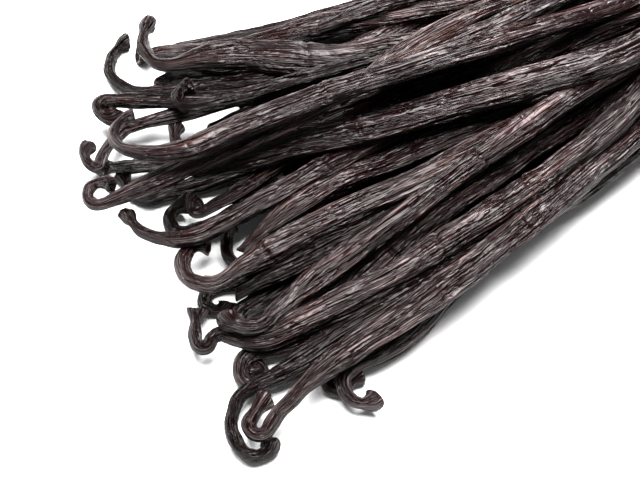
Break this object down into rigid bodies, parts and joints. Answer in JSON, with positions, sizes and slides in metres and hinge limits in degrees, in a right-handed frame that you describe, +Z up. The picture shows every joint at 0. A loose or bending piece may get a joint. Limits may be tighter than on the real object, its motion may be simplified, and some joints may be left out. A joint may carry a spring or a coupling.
{
  "type": "bundle of vanilla pods",
  "caption": "Loose bundle of long dark cured vanilla pods lying flat, with hooked stem ends fanned out and blunt far ends gathered.",
  "frame": {"origin": "on the table, under the middle of the bundle's box", "axes": "+X from the hooked stem ends to the blunt far ends, +Z up"},
  "size_m": [0.215, 0.152, 0.0339],
  "materials": {
    "cured_pod": "dark brown, finely ridged along each pod, waxy satin sheen"
  },
  "bodies": {
    "root": {"vanilla_pods": "cured_pod"}
  },
  "joints": []
}
